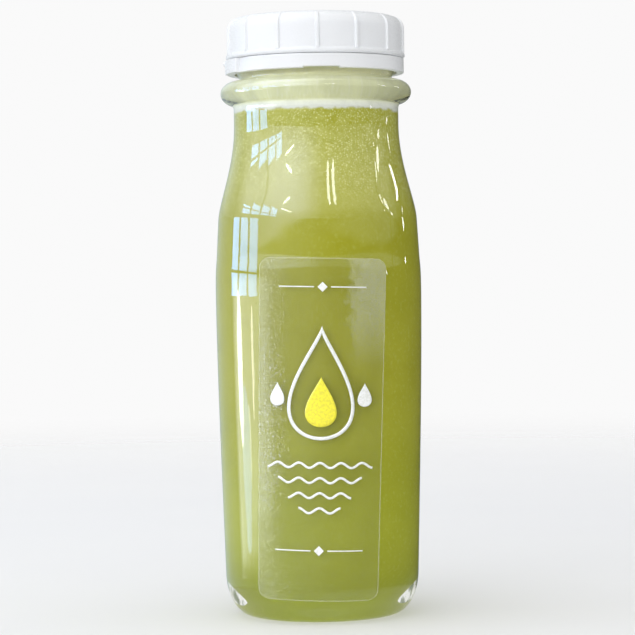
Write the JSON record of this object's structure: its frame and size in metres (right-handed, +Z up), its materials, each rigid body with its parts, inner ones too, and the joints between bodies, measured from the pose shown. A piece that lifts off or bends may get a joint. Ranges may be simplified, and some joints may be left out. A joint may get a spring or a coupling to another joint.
{
  "type": "juice bottle",
  "caption": "Clear glass juice bottle filled with cloudy green juice, with a ribbed white screw cap, a tear band with a pull tab and a clear film label.",
  "frame": {"origin": "middle of the foot, on the surface that the bottle stands on", "axes": "+Z up along the bottle's axis, -Y towards the front, where the label is, +X to the right of the label"},
  "size_m": [0.0634, 0.0637, 0.1834],
  "materials": {
    "clear_glass": "polished",
    "cloudy_juice": "gloss",
    "clear_film": "gloss",
    "white_plastic": "satin",
    "seal_foam": "matte"
  },
  "bodies": {
    "bottle": {"glass_bottle": "clear_glass", "juice": "cloudy_juice", "label": "clear_film", "tear_band": "white_plastic"},
    "liner": {"seal_liner": "seal_foam"},
    "cap": {"cap_shell": "white_plastic"}
  },
  "joints": [
    {"name": "cap_lift", "type": "slide", "parent": "bottle", "child": "liner", "axis": [0, 0, 1], "range_m": [0, 0.0047]},
    {"name": "cap_turn", "type": "hinge", "parent": "liner", "child": "cap", "pos_m": [0, 0, 0.176], "axis": [0, 0, 1], "range_deg": [0, 120]}
  ],
  "couplings": [
    {"joint": "cap_lift", "follows": "cap_turn", "m_per_rad": 0.0022282}
  ]
}
